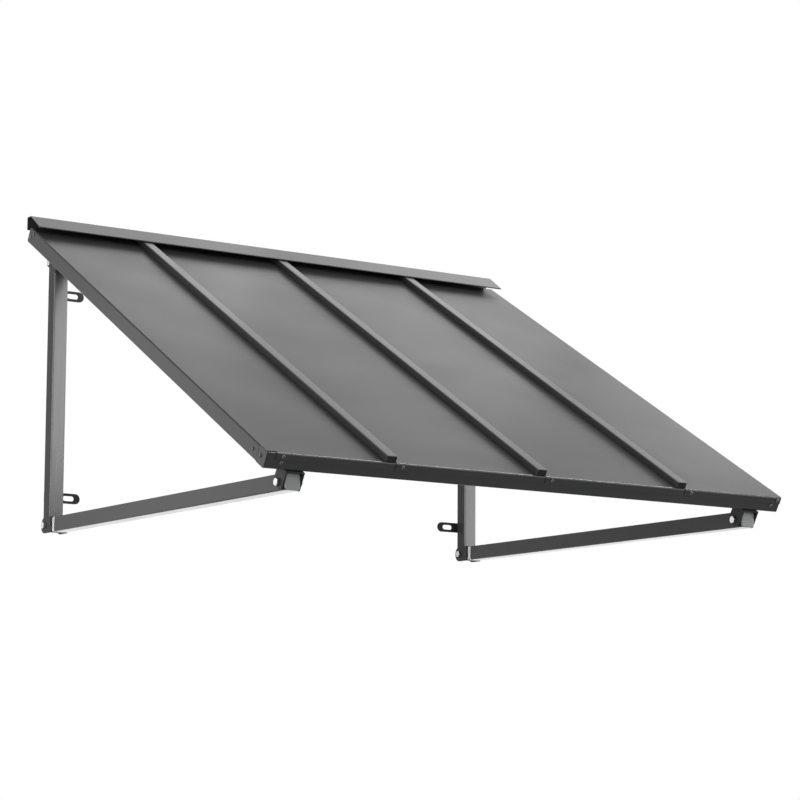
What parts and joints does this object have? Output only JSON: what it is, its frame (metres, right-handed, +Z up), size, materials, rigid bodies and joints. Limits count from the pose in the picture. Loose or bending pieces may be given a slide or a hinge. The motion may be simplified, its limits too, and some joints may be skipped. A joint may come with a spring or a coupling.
{
  "type": "standing seam metal awning",
  "caption": "Sloped metal awning with flat pans and raised seam caps on a square tube frame, with a folded wall flashing and bolted side frames on slotted wall tabs.",
  "frame": {"origin": "centre of the back face of the flashing's upright leg, on the wall plane", "axes": "+X along the wall to the right as seen from the front, +Y into the wall, +Z up"},
  "size_m": [1.0834, 0.9726, 0.6267],
  "materials": {
    "dark_coat": "satin grey powder coat",
    "zinc": "bright zinc plate",
    "grey_plastic": "smooth moulded grey",
    "pale_nylon": "natural nylon"
  },
  "bodies": {
    "root": {"roof_pan_1": "dark_coat", "roof_pan_2": "dark_coat", "roof_pan_3": "dark_coat", "roof_pan_4": "dark_coat", "seam_cap_1": "dark_coat", "seam_cap_2": "dark_coat", "seam_cap_3": "dark_coat", "wall_flashing": "dark_coat", "front_rail": "dark_coat", "back_rail": "dark_coat", "side_rail_left": "dark_coat", "front_rail_plug_left": "dark_coat", "post_left": "dark_coat", "arm_left": "dark_coat", "wall_tab_upper_left": "dark_coat", "wall_tab_lower_left": "dark_coat", "bracket_top_left": "dark_coat", "bracket_front_left": "dark_coat", "bracket_foot_left": "dark_coat", "arm_front_plug_left": "grey_plastic", "arm_rear_plug_left": "pale_nylon", "bolt_top_left": "zinc", "nut_top_left": "zinc", "bolt_foot_left": "zinc", "nut_foot_left": "zinc", "bolt_front_left": "zinc", "nut_front_left": "zinc", "corner_screw_front_left": "dark_coat", "corner_screw_rear_left": "dark_coat", "rear_screw_low_left": "dark_coat", "rear_screw_high_left": "dark_coat", "side_rail_right": "dark_coat", "front_rail_plug_right": "dark_coat", "post_right": "dark_coat", "arm_right": "dark_coat", "wall_tab_upper_right": "dark_coat", "wall_tab_lower_right": "dark_coat", "bracket_top_right": "dark_coat", "bracket_front_right": "dark_coat", "bracket_foot_right": "dark_coat", "arm_front_plug_right": "grey_plastic", "arm_rear_plug_right": "pale_nylon", "bolt_top_right": "zinc", "nut_top_right": "zinc", "bolt_foot_right": "zinc", "nut_foot_right": "zinc", "bolt_front_right": "zinc", "nut_front_right": "zinc", "corner_screw_front_right": "dark_coat", "corner_screw_rear_right": "dark_coat", "rear_screw_low_right": "dark_coat", "rear_screw_high_right": "dark_coat", "fascia_screw_1": "dark_coat", "fascia_screw_2": "dark_coat", "fascia_screw_3": "dark_coat", "fascia_screw_4": "dark_coat", "fascia_screw_5": "dark_coat", "fascia_screw_6": "dark_coat", "fascia_screw_7": "dark_coat"}
  },
  "joints": []
}
